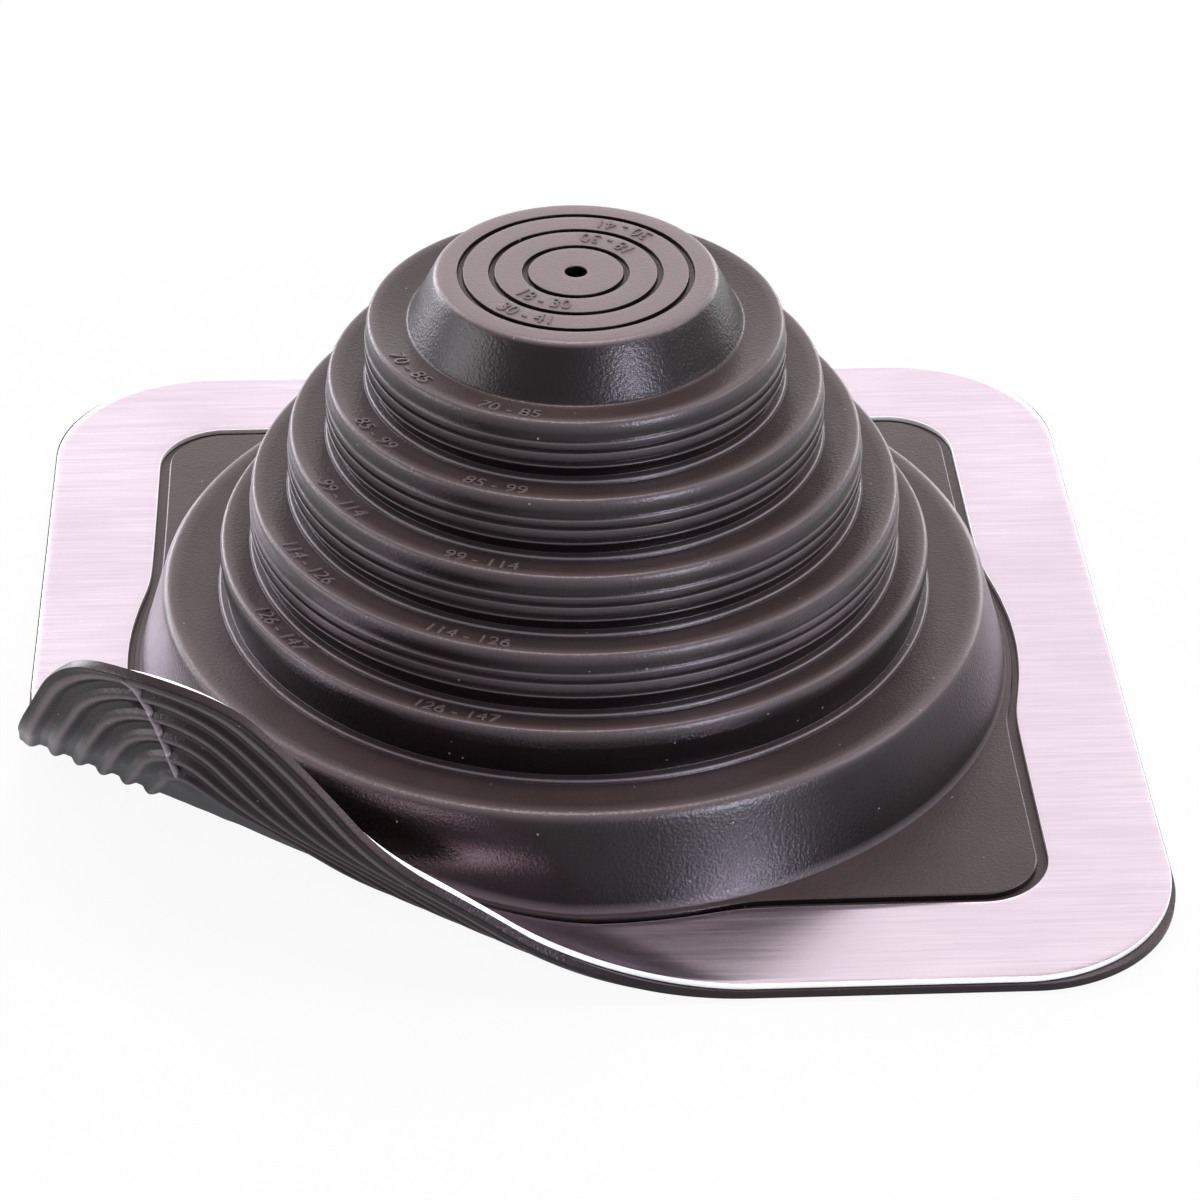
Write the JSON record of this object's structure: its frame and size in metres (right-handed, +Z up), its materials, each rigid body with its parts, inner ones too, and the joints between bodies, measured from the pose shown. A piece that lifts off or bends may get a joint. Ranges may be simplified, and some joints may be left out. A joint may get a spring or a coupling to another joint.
{
  "type": "pipe flashing boot",
  "caption": "Square-based roof boot: a stepped rubber cone that is cut off to fit a pipe, on a ribbed rubber base with a soft aluminium frame, one corner curled up.",
  "frame": {"origin": "middle of the underside, on the axis of the cone, at the height of the ribs that rest on the roof", "axes": "+Z up along the cone's axis, X and Y along the sides of the square base, the curled corner at -X and -Y"},
  "size_m": [0.2034, 0.2032, 0.0844],
  "materials": {
    "rubber": "semi-matt moulded EPDM",
    "aluminium": "mill finish"
  },
  "bodies": {
    "root": {"rubber_boot": "rubber", "aluminium_frame": "aluminium"}
  },
  "joints": []
}
